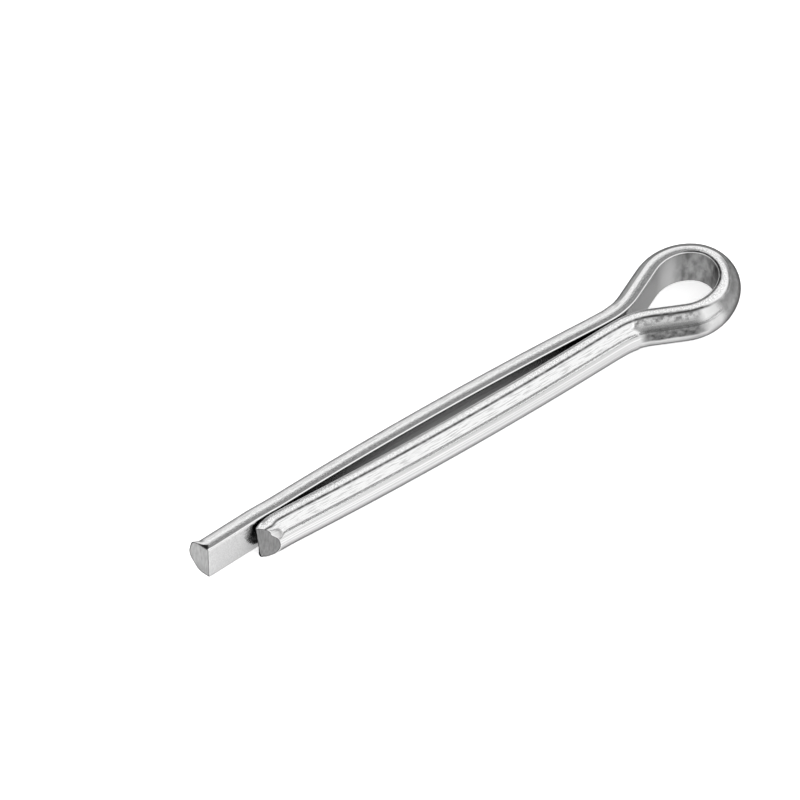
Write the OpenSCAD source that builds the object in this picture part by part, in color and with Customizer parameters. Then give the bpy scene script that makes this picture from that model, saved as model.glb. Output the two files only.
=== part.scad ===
// Cotter pin: one length of half-round wire folded back on itself, flat side inwards.
// It lies on its side, with the plane of the eye level. +X runs along the shank to the eye,
// and the origin is on the shank's axis at the neck, where the two flats come together.

/* [Wire] */
// Radius of the half-round section, which is also the depth of one leg
wire_r = 1.85; // [1.4:0.05:2.4]
// Chamfer along the two edges of the flat
edge_break = 0.1; // [0.05:0.01:0.2]

/* [Eye] */
// Bend radius of the flat at the far end of the eye
eye_end_r = 1.88; // [1.6:0.02:2.6]
// Bend radius of the flat along the sides of the eye
eye_side_r = 3.05; // [2.7:0.05:4]
// Angle that the far end of the eye turns through on each side, in degrees
eye_end_turn = 52; // [40:1:65]
// Angle between each side of the eye and the shank where the eye narrows, in degrees
eye_taper = 25.5; // [20:0.5:32]

/* [Neck] */
// Radius of the reverse bend, on the flat, that brings each leg in line with the shank
neck_r = 6.4; // [4:0.2:9]
// Gap between the two flats where they lie together, at the neck and at the tips
neck_gap = 0.1; // [0.04:0.01:0.3]
// Angle by which the shank leans from the middle of the eye towards the long leg, in degrees
shank_lean = 0.7; // [-2:0.1:2]

/* [Legs] */
// Length of the short leg along its flat, from the neck to the cut
short_leg = 32.5; // [20:0.1:60]
// How much longer the long leg is
prong = 3.65; // [1.5:0.05:6]
// Angle by which the long leg's tip turns towards the short leg's cut, in degrees
prong_turn = 3; // [0.5:0.5:5]
// Radius of that turn, on the flat
prong_r = 15; // [10:1:20]
// Length at the short leg's tip over which the two legs lie together
tip_straight = 2; // [1.5:0.1:6]
// Largest gap between the two flats, in the middle of the bow
bow_gap = 0.74; // [0.4:0.02:2]
// Radius of the gentle bends that lead into the bow and out of it
blend_r = 40; // [10:1:60]

/* [Cut ends] */
// Slant of the long leg's end, which leaves its round side longer, in degrees
long_slant = 15; // [0:1:30]
// Slant of the short leg's end, which leaves its round side shorter, in degrees
short_slant = 37; // [0:1:40]
// Lean of the short leg's end, which leaves its lower side longer, in degrees
short_tilt = 7.5; // [0:0.5:12]
// Radius to which the shear rolled the short leg's flat and its top over towards the cut
roll_r = 2; // [1.8:0.1:2.6]
// Length of the flat that is rolled over, halfway up
roll_length = 1.4; // [0.8:0.1:1.4]
// Angle by which the roll of the flat starts earlier lower down, in degrees
roll_tilt = 17; // [0:1:25]
// Length of the top that is rolled over
top_roll_length = 1.85; // [1:0.05:2.2]

/* [Hidden] */

// Sides of a full turn in the round section, in the bends, and in the gentle bends and the bow
section_fn = 48;
bend_fn = 96;
bow_fn = 1440;
// How far a cut runs past what it cuts
overrun = wire_r;
// How far every second run of wire reaches into its neighbours, and by how much it is slimmer than
// they are, so that the runs join as one solid without faces that coincide
seam = edge_break / 2;
seam_inset = edge_break / 8;
// How far the rolled edge bites below the flat, so that it meets it at a shallow angle
roll_bite = edge_break / 6;

// Straight stretch of each side of the eye, which brings the flats to the gap at the neck
side_top = (eye_end_r - eye_side_r) * sin(eye_end_turn) + eye_side_r * cos(eye_taper);
neck_drop = neck_r * (1 - cos(eye_taper));
eye_straight = (side_top - neck_drop - neck_gap / 2) / sin(eye_taper);

// Far end of the eye's opening, from the neck
eye_far = eye_end_r + (eye_side_r - eye_end_r) * cos(eye_end_turn)
    + (eye_side_r + neck_r) * sin(eye_taper) + eye_straight * cos(eye_taper);

// Length over which the legs bow apart, the angle at which they leave the neck, and the radius of the
// bow that brings them back together
bow_length = short_leg - tip_straight;
bow_turn = 2 * atan((bow_gap - neck_gap) / bow_length);
bow_r = bow_length / (2 * sin(bow_turn)) - blend_r;

// Length of flat that the turn of the long leg's tip takes up
prong_bend = prong_r * prong_turn * PI / 180;

// A run of wire is [turn, size, sides]: a straight has turn 0 and its length for size, and a bend has
// its angle, above 0 towards the flat and below 0 towards the round side, its radius on the flat, and
// the sides of its full turn. These are the runs of the two tips, with a length past the cut, and then
// the runs of one side of the pin, from the far end of the eye to the end of its tip.
function short_tip(past_cut = 0) = [[0, tip_straight + past_cut]];

function long_tip(past_cut = 0) = [
    [0, tip_straight - roll_length],
    [prong_turn, prong_r, bow_fn],
    [0, prong + roll_length - prong_bend + past_cut]
];

function side_runs(lean, tip) = concat(
    [
        [90 + eye_taper - eye_end_turn, eye_side_r, bend_fn],
        [0, eye_straight],
        [-eye_taper - lean, neck_r, bend_fn],
        [-bow_turn, blend_r, bow_fn],
        [2 * bow_turn, bow_r, bow_fn],
        [-bow_turn, blend_r, bow_fn]
    ],
    tip
);

// Section of the wire: a half disc on the right of its flat, with its two edges broken
module half_round(inset = 0) {
    flat = wire_r - edge_break - inset;
    reach = wire_r + overrun;
    run_out = reach - flat;
    intersection() {
        circle(r = wire_r - inset, $fn = section_fn);
        polygon([
            [inset, -flat],
            [inset + run_out, -reach],
            [reach + run_out, -reach],
            [reach + run_out, reach],
            [inset + run_out, reach],
            [inset, flat]
        ]);
    }
}

// A bend towards the flat, or with outward set towards the round side, from its start at angle 0
module bend(turn, radius, sides, inset = 0, outward = false) {
    rotate_extrude(angle = turn, $fn = sides)
        translate([radius, 0]) mirror([outward ? 1 : 0, 0]) half_round(inset);
}

// One run of wire. It heads along +Y with its flat at X 0 and its round side to +X.
module wire(run, slim) {
    turn = run[0];
    size = run[1];
    lap = slim ? seam : 0;
    inset = slim ? seam_inset : 0;
    lap_turn = lap / size * 180 / PI;
    if (turn == 0)
        translate([0, size + lap, 0]) rotate([90, 0, 0]) linear_extrude(size + 2 * lap) half_round(inset);
    else
        mirror([turn < 0 ? 1 : 0, 0, 0])
            translate([-size, 0, 0])
                rotate(-lap_turn)
                    bend(abs(turn) + 2 * lap_turn, size, run[2], inset, turn < 0);
}

// Places its children where a run ends
module past(run) {
    turn = run[0];
    size = run[1];
    centre = turn < 0 ? size : -size;
    if (turn == 0)
        translate([0, size, 0]) children();
    else
        translate([centre, 0, 0]) rotate(turn) translate([-centre, 0, 0]) children();
}

// Places its children where the first runs of a list end
module along(runs, count, i = 0) {
    if (i == count)
        children();
    else
        past(runs[i]) along(runs, count, i + 1) children();
}

// Places its children where the far end of the eye ends and one side of the pin starts
module past_eye_end() {
    translate([eye_far, 0, 0]) past([eye_end_turn, eye_end_r]) children();
}

// One side of the pin in wire
module side(runs) {
    past_eye_end()
        for (i = [0 : len(runs) - 1])
            along(runs, i) wire(runs[i], i % 2 == 0);
}

// Places its children at the end of a side, headed along the leg
module at_end(runs) {
    past_eye_end() along(runs, len(runs)) children();
}

// What the shear takes off an end: all that lies past a plane with the given slant and lean
module shear_cut(slant, tilt = 0) {
    width = wire_r + overrun;
    rotate([tilt, 0, slant]) translate([-width, 0, -width]) cube([2 * width, 2 * width, 2 * width]);
}

// What the roll-over takes off a surface at X 0, before the shear. It starts at Y 0.
module roll_cut() {
    height = wire_r + overrun;
    translate([0, 0, -height])
        linear_extrude(2 * height)
            difference() {
                translate([-overrun, 0]) square([overrun + roll_r - roll_bite, wire_r + overrun]);
                translate([roll_r - roll_bite, 0]) circle(r = roll_r, $fn = bend_fn);
            }
}

module cotter_pin() {
    color([0.78, 0.78, 0.79])
        union() {
            translate([eye_far - eye_end_r, 0, 0])
                rotate(-eye_end_turn)
                    bend(2 * eye_end_turn, eye_end_r, bend_fn);
            difference() {
                side(side_runs(shank_lean, long_tip(overrun)));
                at_end(side_runs(shank_lean, long_tip())) shear_cut(long_slant);
            }
            mirror([0, 1, 0])
                difference() {
                    side(side_runs(-shank_lean, short_tip(overrun)));
                    at_end(side_runs(-shank_lean, short_tip())) {
                        shear_cut(-short_slant, short_tilt);
                        translate([0, -roll_length, 0]) rotate([-roll_tilt, 0, 0]) roll_cut();
                        translate([0, -top_roll_length, wire_r]) rotate([0, 90, 0]) roll_cut();
                    }
                }
        }
}

cotter_pin();
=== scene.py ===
import math

import bpy
import numpy as np
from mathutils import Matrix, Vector


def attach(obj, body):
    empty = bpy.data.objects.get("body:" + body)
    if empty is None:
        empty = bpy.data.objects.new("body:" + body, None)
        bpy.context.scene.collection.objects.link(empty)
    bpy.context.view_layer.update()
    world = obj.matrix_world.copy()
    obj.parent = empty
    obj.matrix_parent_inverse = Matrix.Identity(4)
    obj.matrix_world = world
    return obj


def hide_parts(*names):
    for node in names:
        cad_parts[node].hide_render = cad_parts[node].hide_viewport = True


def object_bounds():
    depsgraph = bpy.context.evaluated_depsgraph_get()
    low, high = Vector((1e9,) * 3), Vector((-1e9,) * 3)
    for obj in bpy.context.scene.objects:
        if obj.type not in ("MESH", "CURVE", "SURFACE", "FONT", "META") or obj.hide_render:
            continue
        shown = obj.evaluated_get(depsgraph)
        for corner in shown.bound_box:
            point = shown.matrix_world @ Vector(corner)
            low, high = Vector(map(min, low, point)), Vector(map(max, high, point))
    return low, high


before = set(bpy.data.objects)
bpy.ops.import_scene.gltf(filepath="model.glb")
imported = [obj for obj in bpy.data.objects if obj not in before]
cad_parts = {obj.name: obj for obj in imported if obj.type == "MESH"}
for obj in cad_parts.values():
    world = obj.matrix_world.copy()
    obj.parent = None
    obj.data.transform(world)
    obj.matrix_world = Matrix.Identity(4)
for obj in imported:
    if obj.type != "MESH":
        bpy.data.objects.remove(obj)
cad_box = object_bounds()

# Cotter pin
# The pin is one length of half-round steel wire, drawn bright and folded back on itself, flat inwards.
# The fold is bent into an eye and pressed to a neck in a die. The legs bow slightly apart, and a shear
# cuts them off at a slant, the long one at the back and the short one at the front.
mm = 0.001

# Sizes of the CAD part, in millimetres and degrees
wire_r = 1.85
eye_end_r, eye_end_turn = 1.88, 52
eye_side_r, eye_taper = 3.05, 25.5
neck_r, neck_gap, shank_lean = 6.4, 0.1, 0.7
short_leg, prong, tip_straight = 32.5, 3.65, 2
prong_turn, prong_r = 3, 15
bow_gap, blend_r = 0.74, 40
long_slant, short_slant, short_tilt = 15, 37, 7.5
roll_r, roll_length, roll_tilt, top_roll_length = 2, 1.4, 17, 1.85

# Sizes that the scene adds: round edges and rims, eased bends, how far up the wire the slant of a cut
# reaches, how much of the flat's roll the cut takes off, and the lip under the short leg's cut
edge_r, rim_r, bend_ease = 0.12, 0.05, 0.3
slant_run, roll_cut, short_lip = 3, 0.26, 0.28

# Steps along the wire, points round its section, and rings over each rim and cut face
line_step, ring_step = 0.02, 0.12
flat_points, corner_points, disc_points = 8, 9, 81
rim_rings, face_rings, first_face_share = 4, 6, 0.94

# Lengths that follow from the sizes, as in the CAD part
side_top = (eye_end_r - eye_side_r) * math.sin(math.radians(eye_end_turn))
side_top += eye_side_r * math.cos(math.radians(eye_taper))
neck_drop = neck_r * (1 - math.cos(math.radians(eye_taper)))
eye_straight = (side_top - neck_drop - neck_gap / 2) / math.sin(math.radians(eye_taper))
eye_far = eye_end_r + (eye_side_r - eye_end_r) * math.cos(math.radians(eye_end_turn))
eye_far += (eye_side_r + neck_r) * math.sin(math.radians(eye_taper))
eye_far += eye_straight * math.cos(math.radians(eye_taper))
bow_length = short_leg - tip_straight
bow_turn = 2 * math.degrees(math.atan((bow_gap - neck_gap) / bow_length))
bow_r = bow_length / (2 * math.sin(math.radians(bow_turn))) - blend_r
short_tip = [(0, tip_straight)]
long_tip = [
    (0, tip_straight - roll_length),
    (prong_turn, prong_r),
    (0, prong + roll_length - prong_r * math.radians(prong_turn)),
]


def bent_side(lean, tip):
    """The line of the flat from the far end of the eye to one cut, seen from above. Bends and straights
    follow each other, so the heading is made of straight lines over the length. It is eased where two
    runs meet, and the running sum of its cosine and sine gives the points."""
    runs = np.array([
        (eye_end_turn, eye_end_r),
        (90 + eye_taper - eye_end_turn, eye_side_r),
        (0, eye_straight),
        (-eye_taper - lean, neck_r),
        (-bow_turn, blend_r),
        (2 * bow_turn, bow_r),
        (-bow_turn, blend_r),
    ] + tip)
    turns = np.radians(runs[:, 0])
    lengths = np.where(turns == 0, 1, np.abs(turns)) * runs[:, 1]
    knots = np.append(0, np.cumsum(lengths))
    headings = np.pi / 2 + np.append(0, np.cumsum(turns))
    station = np.linspace(0, knots[-1], round(knots[-1] / line_step) + 1)
    reach = round(bend_ease / line_step)
    window = np.hanning(2 * reach + 3)[1:-1]
    heading = np.pad(np.interp(station, knots, headings), reach, "reflect", reflect_type="odd")
    heading = np.convolve(heading, window / window.sum(), "valid")
    middle = (heading[1:] + heading[:-1]) / 2
    x = eye_far + np.append(0, np.cumsum(np.cos(middle) * np.diff(station)))
    y = np.append(0, np.cumsum(np.sin(middle) * np.diff(station)))
    return station, x, y, heading


def half_round():
    """Outline of the section from the middle of the flat and round by the lower side: a half disc whose
    two corners are arcs that touch the flat and the disc. Gives depth from the flat, height, and the
    direction that the surface faces, as an angle from straight out."""
    corner_up = math.sqrt((wire_r - edge_r) ** 2 - edge_r ** 2)
    corner_turn = math.atan2(corner_up, edge_r)
    flat = np.linspace(0, corner_up, flat_points)[:-1]
    corner = np.linspace(-np.pi, -corner_turn, corner_points)[:-1]
    disc = np.linspace(-corner_turn, corner_turn, disc_points)
    depth = np.concatenate([0 * flat, edge_r + edge_r * np.cos(corner), wire_r * np.cos(disc)])
    height = np.concatenate([-flat, edge_r * np.sin(corner) - corner_up, wire_r * np.sin(disc)])
    facing = np.concatenate([flat * 0 - np.pi, corner, disc])
    upper = slice(len(flat) + len(corner) - 1, 0, -1)
    depth = np.append(depth, depth[upper])
    height = np.append(height, -height[upper])
    facing = np.append(facing, -facing[upper])
    return depth, height, facing


def smooth_step(low, high, value):
    """Rises from 0 at low to 1 at high with no slope at either."""
    share = np.clip((value - low) / (high - low), 0, 1)
    return share * share * (3 - 2 * share)


def hump(middle, width, value):
    """A bell curve of height 1 round the middle."""
    return np.exp(-((value - middle) / width) ** 2)


# The two sides joined into one line, from the long leg's cut by the eye to the short leg's cut
long_line = bent_side(shank_lean, long_tip)
short_line = bent_side(-shank_lean, short_tip)
line_station = np.append(-long_line[0][::-1], short_line[0][1:])
line_x = np.append(long_line[1][::-1], short_line[1][1:])
line_y = np.append(long_line[2][::-1], -short_line[2][1:])
line_out_x = np.append(np.sin(long_line[3])[::-1], np.sin(short_line[3])[1:])
line_out_y = np.append(-np.cos(long_line[3])[::-1], np.cos(short_line[3])[1:])
long_end, short_end = long_line[0][-1], short_line[0][-1]

# Rings of the section along the wire. Past each rim the rings close over the cut face to its middle.
rim_turn = np.linspace(0, np.pi / 2, rim_rings + 1)[1:]
face_share = np.linspace(first_face_share, 0, face_rings + 1)[:-1]
body = np.linspace(rim_r - long_end, short_end - rim_r, round((long_end + short_end) / ring_step))
rim_out = rim_r * np.sin(rim_turn) - rim_r
ring_station = np.concatenate([
    0 * face_share - long_end,
    -(long_end + rim_out)[::-1],
    body,
    short_end + rim_out,
    0 * face_share + short_end,
])
rim_in = rim_r * (1 - np.cos(rim_turn))
ring_inset = np.concatenate([
    0 * face_share + rim_r, rim_in[::-1], 0 * body, rim_in, 0 * face_share + rim_r,
])
ring_share = np.concatenate([
    face_share[::-1], 0 * rim_turn + 1, 0 * body + 1, 0 * rim_turn + 1, face_share,
])

depth, height, facing = half_round()
face_middle = 4 * wire_r / (3 * np.pi)
station = ring_station[:, None]
rings, sides = len(ring_station), len(depth)
deep = depth - np.cos(facing) * ring_inset[:, None]
deep = face_middle + (deep - face_middle) * ring_share[:, None]
high = (height - np.sin(facing) * ring_inset[:, None]) * ring_share[:, None]


def rolled_over(length):
    """How far a surface is rolled over: the fall of a circle that touches it where the roll starts. The
    length from there is held short of the circle's own side."""
    return roll_r - np.sqrt(roll_r ** 2 - np.clip(length, 0, 0.9 * roll_r) ** 2)


def cut_slide(deep, high):
    """How far points move along the wire, so that the last rings of each end lie in its slanted cut."""
    long_slide = -deep * math.tan(math.radians(long_slant))
    short_slide = -deep * math.tan(math.radians(short_slant)) - high * tilt_slope
    short_slide = short_slide + short_lip * np.clip(-high / wire_r, 0, 1) ** 2
    return long_slide * long_near + short_slide * short_near


# The shear rolled the short leg's flat and its top over towards its cut.
long_near = np.clip(1 - (long_end + station) / slant_run, 0, 1)
short_near = np.clip(1 - (short_end - station) / slant_run, 0, 1)
tilt_slope = math.tan(math.radians(short_tilt)) / math.cos(math.radians(short_slant))
to_flat_cut = short_end - station + roll_cut * short_near
flat_roll = rolled_over(roll_length - to_flat_cut - high * math.tan(math.radians(roll_tilt)))
rolled_deep = deep + flat_roll * np.clip(1 - deep / wire_r, 0, 1) ** 2
room = np.maximum(wire_r ** 2 - deep ** 2, edge_r ** 2)
rolled_room = np.maximum(wire_r ** 2 - rolled_deep ** 2, edge_r ** 2)
high = high * np.sqrt(rolled_room / room)
deep = rolled_deep
to_cut = short_end - station - cut_slide(deep, high)
high = high - rolled_over(top_roll_length - to_cut) * np.clip(high / wire_r, 0, 1) ** 2

# Marks of the tools, in millimetres. The die pressed the outside of the eye a little flat, and left a
# crease along each edge of its bright flank and a swelling at the neck. The shear left a notch in the
# short leg's cut and two burrs at the long leg's. Stations run along the wire from the far end of the eye,
# above 0 on the short leg's side, and angles are from straight out, above 0 upwards.
swelling, crease_depth = 0.06, 0.04
notch_depth, notch_length = 0.26, 1.1
upper_burr, lower_burr, burr_length = 0.34, 0.17, 0.5
angle = np.degrees(facing)
off_side = np.abs(angle)
edge_angle = np.interp(station, [-4.2, -2.2, -1.2, -0.3, 0.8, 2, 2.7, 4.2],
                       [58, 66, 66, 62, 64, 60, 60, 69])
edge_angle = edge_angle - 4.5 * hump(short_end - 0.6, 0.5, station)
# The crease mask cuts the groove below and also darkens it with painted shade
crease_and_painted_shade = hump(edge_angle, 3.2 + 1.5 * hump(6.2, 2, station), off_side)
crease_and_painted_shade = crease_and_painted_shade * np.interp(station, [-9.6, -0.5, 1, 3.4, 4.2, 8.8, 10.2], [0, 0, 0.6, 0.6, 1, 1, 0.95])
die_edge = 9.1 + 0.5 * hump(51, 10, off_side)
pressed = np.interp(station, [-9.7, -9.2, -4, 0, 1.5, 4], [0, 0.03, 0.05, 0.1, 0.11, 0.05])
pressed = pressed * (1 - smooth_step(die_edge, die_edge + 0.3, station))
relief = swelling * hump(7.3, 0.5, station) * hump(0, 25, angle)
relief = relief - pressed * (1 - smooth_step(edge_angle - 9, edge_angle, off_side))
relief = relief - crease_depth * crease_and_painted_shade
notch = hump(43, 10, angle) * np.clip(1 - (short_end - station) / notch_length, 0, 1) ** 2
relief = relief - notch_depth * notch
burr = upper_burr * hump(50, 20, angle) + lower_burr * hump(-62, 14, angle)
relief = relief + burr * np.clip(1 - (long_end + station) / burr_length, 0, 1)
deep = deep + relief * np.cos(facing) * ring_share[:, None]
high = high + relief * np.sin(facing) * ring_share[:, None]
slide = cut_slide(deep, high)

# The rings set on the line, with a point in the middle of each cut face
out_x = np.interp(ring_station, line_station, line_out_x)[:, None]
out_y = np.interp(ring_station, line_station, line_out_y)[:, None]
wire_points = np.stack([
    np.interp(ring_station, line_station, line_x)[:, None] + out_x * deep + out_y * slide,
    np.interp(ring_station, line_station, line_y)[:, None] + out_y * deep - out_x * slide,
    high,
], axis=-1)
pole_points = np.stack([wire_points[0].mean(axis=0), wire_points[-1].mean(axis=0)])
vertices = np.concatenate([wire_points.reshape(-1, 3), pole_points]) * mm

ring_index, side_index = np.meshgrid(np.arange(rings - 1), np.arange(sides), indexing="ij")
next_side = (side_index + 1) % sides
quads = np.stack([
    ring_index * sides + side_index,
    ring_index * sides + next_side,
    (ring_index + 1) * sides + next_side,
    (ring_index + 1) * sides + side_index,
], axis=-1).reshape(-1, 4)
around = np.arange(sides)
first_fan = np.stack([0 * around + rings * sides, (around + 1) % sides, around], axis=-1)
last_ring = (rings - 1) * sides
last_fan = np.stack([
    0 * around + rings * sides + 1, last_ring + around, last_ring + (around + 1) % sides,
], axis=-1)
pin_mesh = bpy.data.meshes.new("cotter_pin_wire")
pin_mesh.from_pydata(vertices.tolist(), [], quads.tolist() + first_fan.tolist() + last_fan.tolist())
pin_mesh.validate()
pin_mesh.shade_smooth()

# Places on the wire, in millimetres along it and round it, for marks that follow the drawing
round_step = np.hypot(np.diff(np.append(depth, depth[0])), np.diff(np.append(height, height[0])))
round_place = np.append(0, np.cumsum(round_step))
along_place = np.broadcast_to(station + slide, (rings, sides))
corner_u = along_place[[ring_index, ring_index, ring_index + 1, ring_index + 1],
                       [side_index, next_side, next_side, side_index]]
corner_v = round_place[[side_index, side_index + 1, side_index + 1, side_index]]
quad_places = np.stack([corner_u, corner_v], axis=-1).transpose(1, 2, 0, 3).reshape(-1, 2)
fan_places = np.zeros((6 * sides, 2))
wire_map = pin_mesh.uv_layers.new(name="wire")
wire_map.data.foreach_set("uv", np.concatenate([quad_places, fan_places]).ravel())

# The two cut faces, each with a sharp rim; painted shade makes the short leg's face darker and draws a
# dark edge round each face
long_shade, short_cut_painted_shade, rim_painted_shade, sharp_turn = 0.4, 0.22, 0.12, 40
first_short = rings - 1 - face_rings
cut_tone_and_painted_shade = long_shade * (ring_index < face_rings) + short_cut_painted_shade * (ring_index >= first_short)
cut_tone_and_painted_shade = np.where((ring_index == face_rings - 1) | (ring_index == first_short), rim_painted_shade, cut_tone_and_painted_shade)
cut_tone_and_painted_shade = np.append(cut_tone_and_painted_shade, np.repeat([long_shade, short_cut_painted_shade], sides)).astype(np.float32)
pin_mesh.attributes.new("cut_tone_and_painted_shade", "FLOAT", "FACE").data.foreach_set("value", cut_tone_and_painted_shade)
pin_mesh.attributes.new("cut", "FLOAT", "FACE").data.foreach_set("value", np.sign(cut_tone_and_painted_shade))
pin_mesh.set_sharp_from_angle(angle=math.radians(sharp_turn))


def wire_finish(name, values):
    """Keeps one value for each point of the rings, and none at the middles of the two cut faces."""
    values = np.append(np.broadcast_to(values, (rings, sides)), [0, 0]).astype(np.float32)
    pin_mesh.attributes.new(name, "FLOAT", "POINT").data.foreach_set("value", values)


# Where the finish differs: mottled and rougher where the die rubbed the outside of the eye, which is also
# darkened there with painted shade, rubbed on its front, torn in the notch, painted shade in the creases,
# along edges, by the long leg's cut and on the short leg's rolled flat, painted reflections of dark
# surroundings in a strip on the eye's front and a line on the legs, satin on the top and underneath, less
# so on the long leg's sides and its tip's flat, flecked on the flanks, lined lower down, and clouded with
# painted shade inside the eye
wedge_length = 0.34
# The outside of the eye where the die rubbed it: mottled and rougher, and darker, partly as painted shade
# for the shadowed table that the wall reflects
scuff_and_painted_shade = np.interp(station, [-9.6, -8.6, -0.5, 0.2, 2.9, 3.4, 4.1, 4.6],
                  [0, 0.7, 0.8, 1, 1, 0.3, 0.15, 0.8])
scuff_and_painted_shade = np.maximum(scuff_and_painted_shade, 0.5 * hump(3.7, 0.8, station) * (1 - smooth_step(28, 42, off_side)))
die_soft = 0.2 + 1.2 * (1 - smooth_step(25, 40, off_side))
scuff_and_painted_shade = scuff_and_painted_shade * (1 - smooth_step(die_edge - die_soft, die_edge + 0.2, station))
scuff_and_painted_shade = scuff_and_painted_shade * (1 - smooth_step(edge_angle - 4, edge_angle, off_side))
low_front = hump(6.6, 2.6, station) * (1 - smooth_step(22, 32, angle))
wire_finish("scuff_and_painted_shade", scuff_and_painted_shade * (1 - 0.7 * low_front))
rubbed = smooth_step(4, 5, station) * (1 - smooth_step(die_edge, die_edge + 0.3, station))
wire_finish("rubbed", rubbed * smooth_step(42, 58, off_side) * (1 - smooth_step(66, 70, off_side)))
wire_finish("torn", np.minimum(3 * notch, 1))
# A painted reflection of a dark region below: a darker strip on the front of the eye
painted_dark_band = 0.78 - 0.26 * smooth_step(22, 32, angle) - 0.52 * smooth_step(34, 42, angle)
painted_dark_band = painted_dark_band * smooth_step(0, 8, angle)
painted_dark_band = painted_dark_band * smooth_step(3.6, 4.8, station) * (1 - smooth_step(8.4, 9.5, station))
on_eye = 1 - smooth_step(8.5, 9.5, np.abs(station))
# Painted shade along the inner edge of the eye's bead and, fainter, on the flat inside the eye
inner_edge_painted_shade = smooth_step(80.5, 83.5, off_side) * (1 - smooth_step(105, 118, off_side))
inner_edge_painted_shade = inner_edge_painted_shade * np.interp(station, [-2.8, -2, 1.6, 3, 8, 9.3], [0, 0.8, 0.8, 0.5, 0.5, 0])
inner_edge_painted_shade = np.maximum(inner_edge_painted_shade, 0.25 * hump(130, 25, off_side) * on_eye)
# Painted shade in a wedge on the long leg's top, by its cut
painted_shade_wedge = smooth_step(-0.05, 0.1, wedge_length * hump(77, 9, angle) - (long_end + station))
# A painted reflection: a thin dark line along the lower side of the legs
painted_reflection_line = 0.45 * hump(38.5, 1.3, off_side) * smooth_step(9.5, 10.5, station)
painted_reflection_line = painted_reflection_line * (1 - smooth_step(short_end - 1.8, short_end - 1, station))
inner = smooth_step(116, 140, off_side)
# Painted shade on the short leg's rolled flat, which the long leg's flat mirrors
rolled = 0.85 * inner * smooth_step(short_end - 1.6, short_end - 1, station)
# Painted shade in the creases, along the eye's inner edge, by the long cut and on the rolled flat, and
# painted reflections in a strip and a line, in one mask
painted_dark = np.max(np.broadcast_arrays(crease_and_painted_shade, inner_edge_painted_shade, painted_shade_wedge, painted_dark_band, painted_reflection_line, rolled), axis=0)
wire_finish("crease_and_painted_shade", painted_dark * (ring_share == 1)[:, None])
lined = smooth_step(16, 30, off_side) * (1 - smooth_step(32, 36, off_side))
wire_finish("lined", (0.6 + 0.4 * lined) * (1 - smooth_step(32, 36, off_side)) * (1 - on_eye))
flank = smooth_step(39, 43, off_side) * (1 - smooth_step(63, 67, off_side))
wire_finish("flecked", flank * (1 - on_eye))
# Clouds of painted shade on the wall inside the eye, strongest at its far end, and faint clouds on the
# long leg's tip's flat
clouded_painted_shade = np.interp(station, [-5, -3.5, -2.5, 0, 3], [0, 0.1, 1, 1, 0.7]) * on_eye
on_prong = 1 - smooth_step(3.4, 4.4, long_end + station)
on_back = 1 - smooth_step(-4, -2.5, station)
satin = np.maximum(smooth_step(66, 72, off_side), 0.5 * smooth_step(15, 35, off_side) * on_back)
satin = satin * (1 - smooth_step(80, 88, off_side))
wire_finish("satin", np.maximum(satin, 0.5 * inner * on_prong))
wire_finish("inner", inner * (on_eye + 0.25 * on_prong))
wire_finish("clouded_painted_shade", inner * (clouded_painted_shade + 0.05 * on_prong))

pin = bpy.data.objects.new("cotter_pin_wire", pin_mesh)
bpy.context.scene.collection.objects.link(pin)


def shader_node(tree, kind, settings, feeds):
    """Adds a node, sets its properties, and feeds each socket with a value or another node's output."""
    node = tree.nodes.new(kind)
    for name, value in settings.items():
        setattr(node, name, value)
    for key, value in feeds.items():
        if isinstance(value, bpy.types.NodeSocket):
            tree.links.new(value, node.inputs[key])
        else:
            node.inputs[key].default_value = value
    return node


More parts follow.
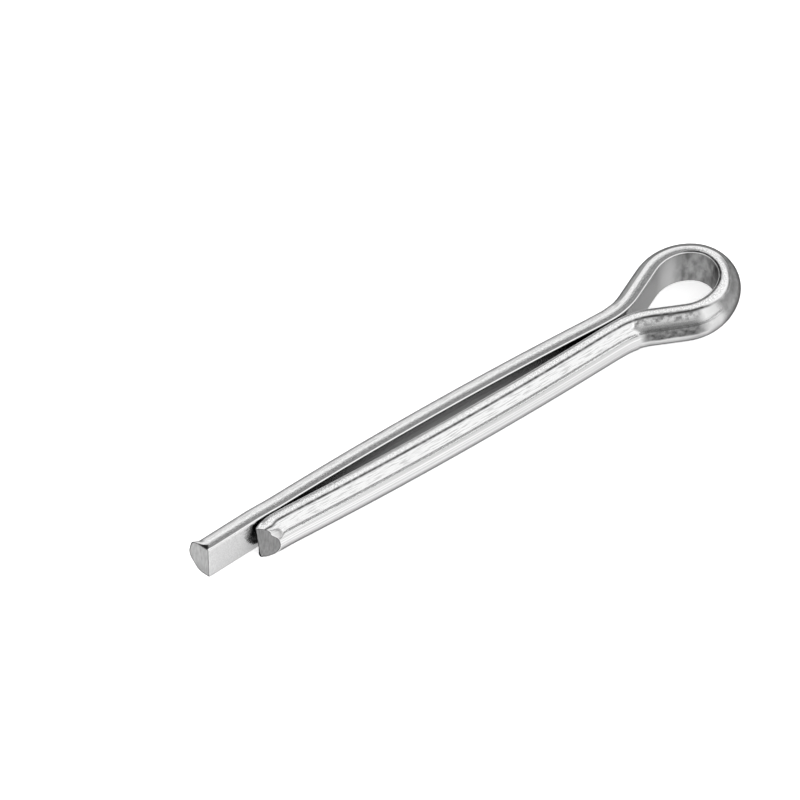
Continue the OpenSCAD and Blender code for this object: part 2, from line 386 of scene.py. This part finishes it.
def bright_wire():
    """Drawn steel: a bright metal with fine lines along the wire, a satin speckle, mottled marks where the
    die rubbed it, painted shade on the scuffed eye, in the creases, along edges and inside the eye,
    painted reflections in a strip and a line, and rougher cut faces, the short one darker with painted
    shade."""
    # The dull tone is for the scuffed eye wall, partly painted shade; the dark share is how far painted
    # shade darkens at most
    edge_tint, bright_shade, dull_and_shaded_tone, deepest_painted_shade = 0.16, 0.62, 0.2, 0.06
    bright_rough, satin_rough, dull_rough = 0.1, 0.16, 0.32
    torn_rough, inner_rough, cut_rough = 0.45, 0.35, 0.5
    bump_depth = 0.00003
    material = bpy.data.materials.new("bright_wire")
    material.use_nodes = True
    tree = material.node_tree
    surface = tree.nodes["Principled BSDF"]
    surface.inputs["Metallic"].default_value = 1
    surface.inputs["Specular Tint"].default_value = (edge_tint, edge_tint, edge_tint, 1)
    place = shader_node(tree, "ShaderNodeTexCoord", {}, {}).outputs["Object"]
    wire_place = shader_node(tree, "ShaderNodeUVMap", {"uv_map": "wire"}, {}).outputs["UV"]

    def finish(name):
        """Where one kind of finish is."""
        return shader_node(tree, "ShaderNodeAttribute", {"attribute_name": name}, {}).outputs["Fac"]

    def stretched(where, dimensions, scale):
        """A noise over the given places, with a scale of its own in each direction."""
        spread = shader_node(tree, "ShaderNodeMapping", {}, {"Vector": where, "Scale": scale})
        return shader_node(tree, "ShaderNodeTexNoise", {"noise_dimensions": dimensions},
                           {"Vector": spread.outputs[0], "Scale": 1, "Detail": 3}).outputs[0]

    def streaks(along, across):
        """A flat noise on the wire, by its waves to a millimetre along the wire and round it."""
        return stretched(wire_place, "2D", (along, across, 1))

    def grain(scale, detail):
        """A noise in the metal."""
        return shader_node(tree, "ShaderNodeTexNoise", {},
                           {"Vector": place, "Scale": scale, "Detail": detail}).outputs[0]

    def spread_over(value, low, high, bottom, top):
        """Spreads the values between low and high over the range from bottom to top."""
        return shader_node(tree, "ShaderNodeMapRange", {},
                           {0: value, 1: low, 2: high, 3: bottom, 4: top}).outputs[0]

    def times(first, second):
        """The product of two values."""
        return shader_node(tree, "ShaderNodeMath", {"operation": "MULTIPLY"},
                           {0: first, 1: second}).outputs[0]

    def between(share, first, second):
        """A value part of the way from the first to the second."""
        return shader_node(tree, "ShaderNodeMix", {}, {0: share, 2: first, 3: second}).outputs[0]

    lines, flecks, clouds = streaks(0.02, 5), streaks(0.9, 11), streaks(1.9, 0.7)
    speckle, mottle = grain(10000, 2), grain(2600, 4)
    sheared = stretched(place, "3D", (9000, 9000, 1200))
    cut, satin, rubbed = finish("cut"), finish("satin"), finish("rubbed")
    # The scuffed eye wall: mottled, rougher, and darkened partly with painted shade
    dull_and_shaded = times(finish("scuff_and_painted_shade"), spread_over(mottle, 0.3, 0.7, 0.85, 1.05))
    # Painted shade and painted reflections from that mask, mottled a little
    ragged_painted_shade = times(finish("crease_and_painted_shade"), spread_over(mottle, 0.3, 0.7, 0.8, 1.15))
    shade = between(dull_and_shaded, bright_shade, dull_and_shaded_tone)
    shade = between(rubbed, shade, times(shade, spread_over(mottle, 0.4, 0.6, 0.5, 1.55)))
    shade = times(shade, between(satin, 1, spread_over(speckle, 0.35, 0.65, 0.75, 1.12)))
    shade = times(shade, between(finish("lined"), 1, spread_over(lines, 0.42, 0.58, 1, 0.65)))
    shade = times(shade, between(finish("flecked"), 1, spread_over(flecks, 0.5, 0.66, 1, 0.72)))
    # Clouds of painted shade inside the eye
    shade = times(shade, between(finish("clouded_painted_shade"), 1, spread_over(clouds, 0.3, 0.7, 0.66, 0.32)))
    shade = times(shade, spread_over(ragged_painted_shade, 0.1, 0.9, 1, deepest_painted_shade))
    # The cut faces: rough sheared steel with streaks, the short one darker and each edge darker with
    # painted shade
    shade = between(cut, shade, times(finish("cut_tone_and_painted_shade"), spread_over(sheared, 0.3, 0.7, 0.8, 1.2)))
    tree.links.new(shade, surface.inputs["Base Color"])
    rough = between(dull_and_shaded, between(satin, bright_rough, satin_rough), dull_rough)
    rough = between(finish("inner"), between(finish("torn"), rough, torn_rough), inner_rough)
    tree.links.new(between(cut, rough, cut_rough), surface.inputs["Roughness"])
    line_bump = shader_node(tree, "ShaderNodeBump", {},
                            {"Height": lines, "Strength": 0.3, "Distance": bump_depth})
    bump = shader_node(tree, "ShaderNodeBump", {},
                       {"Height": speckle, "Strength": spread_over(satin, 0, 1, 0.15, 0.35),
                        "Distance": bump_depth, "Normal": line_bump.outputs[0]})
    tree.links.new(bump.outputs[0], surface.inputs["Normal"])
    return material


pin_mesh.materials.append(bright_wire())
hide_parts("cotter_pin")
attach(pin, "root")

# Floor
# A wide white table that the pin lies on. It shows white to the lens and in the metal, and keeps a
# faint shadow under the pin.
floor_half, floor_glow = 3, 0.44
floor_z = cad_box[0].z
floor_mesh = bpy.data.meshes.new("floor")
floor_mesh.from_pydata(
    [(-floor_half, -floor_half, floor_z), (floor_half, -floor_half, floor_z),
     (floor_half, floor_half, floor_z), (-floor_half, floor_half, floor_z)],
    [], [(0, 1, 2, 3)])
floor = bpy.data.objects.new("floor", floor_mesh)
bpy.context.scene.collection.objects.link(floor)


def white_table():
    """A white floor that takes the shadow of the pin, with a faint glow that keeps the shadow light."""
    material = bpy.data.materials.new("white_table")
    material.use_nodes = True
    material.cycles.emission_sampling = "NONE"
    tree = material.node_tree
    tree.nodes.remove(tree.nodes["Principled BSDF"])
    lit = shader_node(tree, "ShaderNodeBsdfDiffuse", {}, {"Color": (1, 1, 1, 1)})
    glow = shader_node(tree, "ShaderNodeEmission", {}, {"Strength": floor_glow})
    both = shader_node(tree, "ShaderNodeAddShader", {}, {0: lit.outputs[0], 1: glow.outputs[0]})
    tree.links.new(both.outputs[0], tree.nodes["Material Output"].inputs["Surface"])
    return material


floor_mesh.materials.append(white_table())

# Studio
# A white tent with flags: grey and dark cards hung round the pin, which draw the dark lines along it.
# The cards are seen in reflections alone, and their edges are soft.
tent_r, tent_glow = 0.8, 1.5
card_points = 25


def studio_card(name, azimuth, elevation, width, height, brightness, fade=0.15):
    """A card square to the line from the pin. Azimuth is from the front to the right and elevation from
    the table, width and height are angles as seen from the pin. Its cover falls off to its edges."""
    azimuth, elevation = math.radians(azimuth), math.radians(elevation)
    away = np.array([math.sin(azimuth) * math.cos(elevation),
                     -math.cos(azimuth) * math.cos(elevation), math.sin(elevation)])
    right = np.array([math.cos(azimuth), math.sin(azimuth), 0])
    up = np.cross(away, right)
    steps = np.linspace(-1, 1, card_points)
    across, over = np.meshgrid(steps, steps, indexing="ij")
    points = away * tent_r
    points = points + right * (across * tent_r * math.tan(math.radians(width / 2)))[..., None]
    points = points + up * (over * tent_r * math.tan(math.radians(height / 2)))[..., None]
    indices = np.arange(card_points ** 2).reshape(card_points, card_points)
    corners = [indices[:-1, :-1], indices[1:, :-1], indices[1:, 1:], indices[:-1, 1:]]
    faces = np.stack(corners, axis=-1).reshape(-1, 4)
    mesh = bpy.data.meshes.new(name)
    mesh.from_pydata(points.reshape(-1, 3).tolist(), [], faces.tolist())
    cover = smooth_step(0, fade, 1 - np.abs(across)) * smooth_step(0, fade, 1 - np.abs(over))
    mesh.attributes.new("cover", "FLOAT", "POINT").data.foreach_set("value", cover.ravel())
    material = bpy.data.materials.new(name)
    material.use_nodes = True
    tree = material.node_tree
    tree.nodes.remove(tree.nodes["Principled BSDF"])
    solid = shader_node(tree, "ShaderNodeAttribute", {"attribute_name": "cover"}, {})
    clear = shader_node(tree, "ShaderNodeBsdfTransparent", {}, {})
    glow = shader_node(tree, "ShaderNodeEmission", {}, {"Strength": brightness})
    mix = shader_node(tree, "ShaderNodeMixShader", {},
                      {0: solid.outputs["Fac"], 1: clear.outputs[0], 2: glow.outputs[0]})
    tree.links.new(mix.outputs[0], tree.nodes["Material Output"].inputs["Surface"])
    mesh.materials.append(material)
    card = bpy.data.objects.new(name, mesh)
    card.visible_camera = False
    bpy.context.scene.collection.objects.link(card)


studio_card("front_softbox", 25, 42, 60, 50, 1.5)
studio_card("back_flag", 180, 52, 72, 50, 0.43, 0.12)
studio_card("lens_flag", -24, 20, 52, 40, 0.6, 0.5)
studio_card("front_skirt", 12, 9, 60, 8, 0.35)
studio_card("right_flag", 90, 12, 60, 30, 0.75)

world = bpy.data.worlds.new("tent")
bpy.context.scene.world = world
world.use_nodes = True
world.node_tree.nodes["Background"].inputs["Color"].default_value = (1, 1, 1, 1)
world.node_tree.nodes["Background"].inputs["Strength"].default_value = tent_glow

# Camera
# A long lens, a long way off, that looks down on the pin from the side of its short leg. Its place
# follows from where the pin's origin lies in the picture, in pixels from the middle.
view_turn, view_down = 34.70, 56.35
lens_px, picture_px, sensor = 8157, 800, 36
shift_right, shift_up, px_per_mm = 214.14, 66.89, 13.411
turn, down = math.radians(view_turn), math.radians(view_down)
right = -shift_right / px_per_mm
away = -(shift_up * math.sin(down) + lens_px * math.cos(down)) / px_per_mm
up = (lens_px * math.sin(down) - shift_up * math.cos(down)) / px_per_mm
camera_data = bpy.data.cameras.new("camera")
camera_data.sensor_width = sensor
camera_data.lens = sensor * lens_px / picture_px
camera_data.clip_start, camera_data.clip_end = 0.01, 20
camera = bpy.data.objects.new("camera", camera_data)
camera.location = Vector((
    right * math.cos(turn) + away * math.sin(turn),
    away * math.cos(turn) - right * math.sin(turn),
    up,
)) * mm
camera.rotation_euler = (math.pi / 2 - down, 0, -turn)
bpy.context.scene.collection.objects.link(camera)
bpy.context.scene.camera = camera
bpy.context.scene.view_settings.view_transform = "Standard"
